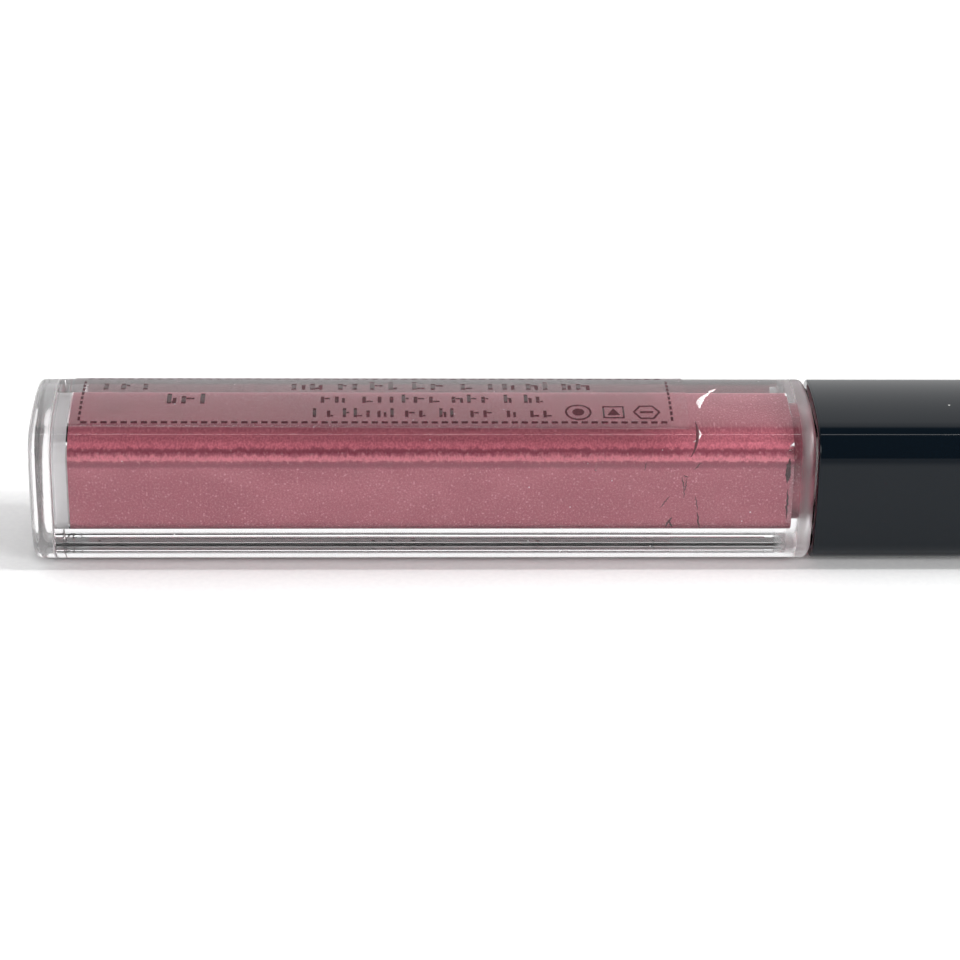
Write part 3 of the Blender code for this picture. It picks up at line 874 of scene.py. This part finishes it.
def label_curl(material, pale):
    """A sliver of film that has come loose and lies over the long edge, and a painted highlight on
    its rim.
    """
    draw = random.Random(9)
    steps = 24
    slivers = (     # name and finish, angles of the two ends, station and radius in mm
        ("label_curl", material, 100, 164, 61.95, 0.14),
        # the second sliver is a painted highlight along the curl's rim
        ("label_curl_painted_highlight", pale, 118, 140, 61.95 + 0.24, 0.09),
    )
    for name, finish, start, end, middle, radius in slivers:
        bm = bmesh.new()
        points = []
        for i in range(steps + 1):
            share = i / steps
            angle = (start + (end - start) * share) * DEGREE
            station = middle + 0.18 * math.sin(3 * share) - 0.55 * share ** 3
            station += draw.uniform(-0.02, 0.02)
            y, z = outline_point(angle, SIDE, CORNER, BULGE, 0.03 * MM)
            points.append(place(station * MM, y, z))
        thread_tube(bm, points, radius * MM, 8)
        finish_piece(piece(name, bm), finish, "bottle", "label_film")


def residue(material):
    """Two flakes of dried gloss on the upper face beside the label."""
    draw = random.Random(3)
    bm = bmesh.new()
    count = 18
    low = -LABEL_THICKNESS - 0.004 * MM
    high = low + 0.05 * MM
    flakes = (      # two ends as (station, across), half width and bow, in mm
        ((62.55, -2.2), (63.75, 1.0), 0.36, 0.35), ((63.75, 1.0), (64.4, 1.75), 0.24, 0.1),
    )
    for start, end, width, bow in flakes:
        left, right = [], []
        for i in range(count + 1):
            share = i / count
            half = width * math.sin(math.pi * (0.06 + 0.88 * share)) * draw.uniform(0.7, 1.15)
            station = start[0] + (end[0] - start[0]) * share - bow * math.sin(math.pi * share)
            across = start[1] + (end[1] - start[1]) * share
            left.append(((station - half) * MM, across * MM))
            right.append(((station + half * draw.uniform(0.5, 1.0)) * MM, across * MM))
        rows = []
        for (s1, a1), (s2, a2) in zip(left, right):
            row = [film_point(s1, a1, low), film_point(s1 + 0.2 * (s2 - s1), a1, high),
                   film_point(s1 + 0.8 * (s2 - s1), a2, high), film_point(s2, a2, low)]
            rows.append([bm.verts.new(p) for p in row])
        for row, following in zip(rows, rows[1:]):
            bridge(bm, row, following)
        bm.faces.new(rows[0])
        bm.faces.new(rows[-1])
    return finish_piece(piece("dried_residue", bm), material, "bottle", "pink_gloss")


# ---------------------------------------------------------------- wand, wiper and liner


def turned(name, profile, closed=False):
    """A round piece from (station, radius) points, either closed or with a disc at both ends."""
    angles = [2 * math.pi * i / ROUND_STEPS for i in range(ROUND_STEPS)]
    rings = [[place(s, r * math.cos(a), r * math.sin(a)) for a in angles] for s, r in profile]
    return loft(name, rings, closed, 30 * DEGREE)


def rounded_profile(points, radius, steps=5):
    """A profile with each inner corner point replaced by a small arc-like run of points."""
    made = [points[0]]
    for before, point, after in zip(points, points[1:], points[2:]):
        p, a, b = Vector(point), Vector(before), Vector(after)
        reach = min(radius, (a - p).length / 2.2, (b - p).length / 2.2)
        start, end = p + (a - p).normalized() * reach, p + (b - p).normalized() * reach
        for i in range(steps + 1):
            t = i / steps
            made.append(tuple(start * (1 - t) ** 2 + p * 2 * t * (1 - t) + end * t ** 2))
    return made + [points[-1]]


def wand_rod(material):
    """The stem with its collar, its plug end and the hole that takes the applicator."""
    hole = 0.96 * MM
    hole_end = ROD_START + 6.2 * MM
    centre = 0.05 * MM
    tight = COLLAR_END + 0.05 * MM      # keeps the fillet here clear of the socket's edge
    profile = [(ROD_END, centre), (ROD_END, ROD_PLUG), (tight, ROD_PLUG), (COLLAR_END, ROD_PLUG),
               (COLLAR_END, ROD_COLLAR), (COLLAR_START, ROD_COLLAR),
               (COLLAR_START - 0.6 * MM, ROD_RADIUS), (60 * MM, ROD_RADIUS), (40 * MM, ROD_RADIUS),
               (ROD_START, ROD_RADIUS), (ROD_START, hole), (hole_end, hole), (hole_end, centre)]
    made = turned("wand_rod_stem", rounded_profile(profile, 0.25 * MM))
    return finish_piece(made, material, "wand", "natural_rod", "wand_rod")


def tip_point(station, radius, angle):
    """A point of the flattened, slanted applicator tip."""
    y, z = radius * math.cos(angle), radius * math.sin(angle) * TIP_FLATNESS
    if z > 0 and station < TIP_SLOPE_END:
        share = (station - TIP_START) / (TIP_SLOPE_END - TIP_START)
        z *= TIP_SLOPE_LOW + (1 - TIP_SLOPE_LOW) * share
    return place(station, y, z)


def tip_profile(start, radius, steps):
    """Stations and radii of the long drop from the nose to the full width."""
    points = []
    for i in range(1, steps + 1):
        turn = QUARTER_TURN * i / steps
        points.append((TIP_SLOPE_END - (TIP_SLOPE_END - start) * max(0.0, math.cos(turn)) ** 0.6,
                       radius * math.sin(turn)))
    return points


def applicator_flock(material):
    """The flocked sleeve with its short fibres."""
    draw = random.Random(21)
    sides = 56
    nap = 0.8 * FIBRE_LENGTH
    skin = TIP_RADIUS - nap
    full_end, steps = TIP_END - 0.5 * MM, 14
    outer = tip_profile(TIP_START + nap, skin, 26)
    outer += [(TIP_SLOPE_END + (full_end - TIP_SLOPE_END) * i / steps, skin)
              for i in range(1, steps + 1)]
    outer += [(TIP_END - 0.2 * MM, skin - 0.06 * MM), (TIP_END, skin - 0.2 * MM)]
    inner = tip_profile(TIP_START + FLOCK, TIP_RADIUS - FLOCK, 12)
    inner += [(TIP_END, TIP_RADIUS - FLOCK)]
    rings = []
    for number, (station, radius) in enumerate(outer[::-1] + inner):
        grow = 0.03 * MM if number < len(outer) else 0
        ring = []
        for i in range(sides):
            angle = 2 * math.pi * i / sides
            lump = grow * noise.noise(Vector((station / (0.35 * MM), 3 * math.cos(angle),
                                              3 * math.sin(angle))))
            ring.append(tip_point(station, radius + lump, angle))
        rings.append(ring)
    bm = bmesh.new()
    rows = [[bm.verts.new(p) for p in ring] for ring in rings]
    nose_out, nose_in = rows[len(outer) - 1], rows[len(outer)]
    for row, following in zip(rows, rows[1:]):
        if row is not nose_out:
            bridge(bm, row, following)
    bm.faces.new(nose_out)
    bm.faces.new(nose_in)
    bridge(bm, rows[-1], rows[0])
    for _ in range(FIBRES):
        station, radius = outer[draw.randrange(len(outer) - 2)]
        station += draw.uniform(0, 0.4 * MM)
        fibre(bm, draw, min(station, TIP_END - 0.3 * MM), radius, draw.uniform(0, 2 * math.pi))
    made = piece("applicator_flock_fibres", bm, 60 * DEGREE)
    return finish_piece(made, material, "cap", "flock", "applicator_flock")


def fibre(bm, draw, station, radius, angle):
    """One short fibre that stands on the tip's skin."""
    root = tip_point(station, radius * 0.985, angle)
    out = tip_point(station, radius + FIBRE_LENGTH, angle) - root
    out = (out.normalized() + Vector([draw.uniform(-0.45, 0.45) for _ in range(3)])).normalized()
    side = out.cross(Vector((1, 0.2, 0))).normalized()
    up = out.cross(side)
    foot = [bm.verts.new(root + FIBRE_RADIUS * (side * math.cos(a) + up * math.sin(a)))
            for a in (0, 2.1, 4.2)]
    point = bm.verts.new(root + out * FIBRE_LENGTH * draw.uniform(0.5, 0.95))
    bm.faces.new(foot)
    for i in range(3):
        bm.faces.new((foot[i], foot[(i + 1) % 3], point))


def neck_wiper(material):
    """The soft insert: flange, sleeve and funnel."""
    sleeve = NECK_BORE - WIPER_PLAY
    lip = 0.35 * MM
    seat = NECK_END + WIPER_PLAY
    profile = [(WIPER_END, NECK_OUTSIDE), (seat, NECK_OUTSIDE), (seat, sleeve),
               (WIPER_START + WIPER_FUNNEL, sleeve), (WIPER_START, WIPER_ORIFICE + lip),
               (WIPER_START, WIPER_ORIFICE), (WIPER_START + lip, WIPER_ORIFICE),
               (WIPER_START + WIPER_FUNNEL, sleeve - WIPER_WALL), (WIPER_END, sleeve - WIPER_WALL)]
    start = ((profile[0][0] + profile[-1][0]) / 2, (profile[0][1] + profile[-1][1]) / 2)
    rounded = rounded_profile([start] + profile + [start], 0.15 * MM)[:-1]
    made = turned("neck_wiper_insert", rounded, closed=True)
    return finish_piece(made, material, "bottle", "soft_wiper", "neck_wiper")


# ---------------------------------------------------------------- cap


def cap_shell(material):
    """Gloss black square cap: the outside, the rim at its mouth and the hollow."""
    wall = 1.3 * MM
    hollow_corner = 2.2 * MM
    hollow_end = CAP_END - 1.8 * MM
    lip = 0.22 * MM

    def inner(station, inset=0.0):
        return square(station, SIDE - 2 * wall, hollow_corner, CAVITY_BULGE, -inset)

    rings = [shrunk(inner(hollow_end), share) for share in (0.3, 0.95)]
    rings += [inner(s) for s in spread(hollow_end, CAP_START + lip, 3.0 * MM)[:-1]]
    rings += rim(CAP_START, lip, inner, -1)
    rings += between(rings[-1], outside(CAP_START, lip), 0.5)
    rings += rim(CAP_START, lip, outside, -1)[::-1]
    rings += [square(s) for s in spread(CAP_START + lip, CAP_END - END_ROUNDING, 2.5 * MM)[1:-1]]
    rings += rim(CAP_END, END_ROUNDING, outside, 1)
    face = rings[-1]
    rings += [shrunk(face, 0.97), shrunk(face, 0.3)]
    made = loft("cap_shell_black", rings)
    return finish_piece(made, material, "cap", "gloss_black", "cap_shell")


def repaint(node, material):
    """Gives a CAD node that stays a better material."""
    shown = frame["nodes"][node]
    shown.data.materials.clear()
    shown.data.materials.append(material)


# ---------------------------------------------------------------- stage


def floor():
    """The white sheet of paper that the tube lies on."""
    bm = bmesh.new()
    bmesh.ops.create_grid(bm, x_segments=8, y_segments=8, size=3.0)
    made = piece("floor", bm)
    made.data.materials.append(paper())


def light(name, position, size, power, target=None):
    """A rectangular soft light, aimed at a point or straight down."""
    data = bpy.data.lights.new(name, "AREA")
    data.shape = "RECTANGLE"
    data.size, data.size_y = size
    data.energy = power
    made = bpy.data.objects.new(name, data)
    made.location = position
    if target:
        aim = Vector(target) - Vector(position)
        made.rotation_euler = aim.to_track_quat("-Z", "Y").to_euler()
    bpy.context.scene.collection.objects.link(made)


def world():
    """A white backdrop behind the tube and a dim room on the camera's side."""
    made = bpy.data.worlds.new("studio")
    made.use_nodes = True
    tree = made.node_tree
    background = tree.nodes["Background"]
    background.inputs["Color"].default_value = (1, 1, 1, 1)
    direction = tree.nodes.new("ShaderNodeTexCoord").outputs["Generated"]
    parts = tree.nodes.new("ShaderNodeSeparateXYZ")
    tree.links.new(direction, parts.inputs[0])
    flat = tree.nodes.new("ShaderNodeCombineXYZ")
    for letter in ("Y", "Z"):
        tree.links.new(parts.outputs[letter], flat.inputs[letter])
    unit = tree.nodes.new("ShaderNodeVectorMath")
    unit.operation = "NORMALIZE"
    tree.links.new(flat.outputs[0], unit.inputs[0])
    backwards = tree.nodes.new("ShaderNodeSeparateXYZ")
    tree.links.new(unit.outputs[0], backwards.inputs[0])
    ramp = tree.nodes.new("ShaderNodeMapRange")
    ramp.interpolation_type = "SMOOTHSTEP"
    limits = {"From Min": 0.20, "From Max": 0.42, "To Min": 0.17, "To Max": 1.15}
    for socket, value in limits.items():
        ramp.inputs[socket].default_value = value
    tree.links.new(backwards.outputs["Y"], ramp.inputs["Value"])
    tree.links.new(ramp.outputs["Result"], background.inputs["Strength"])
    bpy.context.scene.world = made


def camera():
    """The camera: level with the tube, a little above it, turned slightly towards the cap."""
    elevation = 27.5 * DEGREE
    distance = 0.2944
    aside = -0.0237
    yaw = 1.67 * DEGREE
    pitch = 0.23 * DEGREE
    data = bpy.data.cameras.new("camera")
    data.lens = 115.8
    data.sensor_width = 36.0
    made = bpy.data.objects.new("camera", data)
    turn = (Matrix.Rotation(QUARTER_TURN - elevation, 3, "X") @ Matrix.Rotation(-yaw, 3, "Y")
            @ Matrix.Rotation(-pitch, 3, "X"))
    made.rotation_euler = turn.to_euler()
    made.location = (aside, -distance * math.cos(elevation),
                     AXIS + distance * math.sin(elevation))
    bpy.context.scene.collection.objects.link(made)
    bpy.context.scene.camera = made


camera()
world()
floor()
light("key from the cap's side", (0.85, 0.0, 0.46), (0.3, 0.3), 9.0, (0, 0, 0))
light("front light from the cap's side", (0.7, -0.7, 0.42), (0.4, 0.4), 6.2, (0, 0, 0))
light("front light from the base side", (-0.7, -0.7, 0.42), (0.4, 0.4), 4.6, (0, 0, 0))
light("overhead strip", (0.315, -0.105, 0.55), (0.36, 0.02), 1.0)
light("overhead strip, dim end", (-0.105, -0.105, 0.55), (0.48, 0.02), 0.15)

DARK = moulded("dark crack", (0.075, 0.014, 0.022, 1), 0.7, 3000, 0.1)
RESIDUE_AND_HIGHLIGHT = residue_and_highlight_material()
bottle_body(clear_plastic())
base_plug(milky_plastic())
gloss(pink_gloss())
gloss_cracks(DARK)
label_film(label_film_material())
label_print(ink_material())
# the residue finish also paints the highlight on the curl's rim
label_curl(DARK, RESIDUE_AND_HIGHLIGHT)
residue(RESIDUE_AND_HIGHLIGHT)
cap_shell(gloss_black())
neck_wiper(moulded("soft polyethylene", (0.80, 0.80, 0.78, 1), 0.35, 2000, 0.1, 0.25))
wand_rod(smeared("smeared rod", (0.80, 0.79, 0.77, 1), (0.55, 0.15, 0.20, 1), 0.3,
                 ROD_START, 62 * MM))
applicator_flock(smeared("gloss-wet flock", (0.86, 0.72, 0.73, 1), (0.60, 0.17, 0.23, 1), 0.6,
                         TIP_START, 30 * MM))
repaint("cap_liner", moulded("black polypropylene", (0.018, 0.018, 0.019, 1), 0.42, 2400, 0.2))
repaint("cap_gasket", moulded("closed-cell foam", (0.84, 0.84, 0.81, 1), 0.8, 5000, 0.7))
repaint("applicator_core",
        moulded("natural polypropylene", (0.78, 0.77, 0.75, 1), 0.35, 2000, 0.1))

bpy.context.scene.view_settings.view_transform = "Standard"
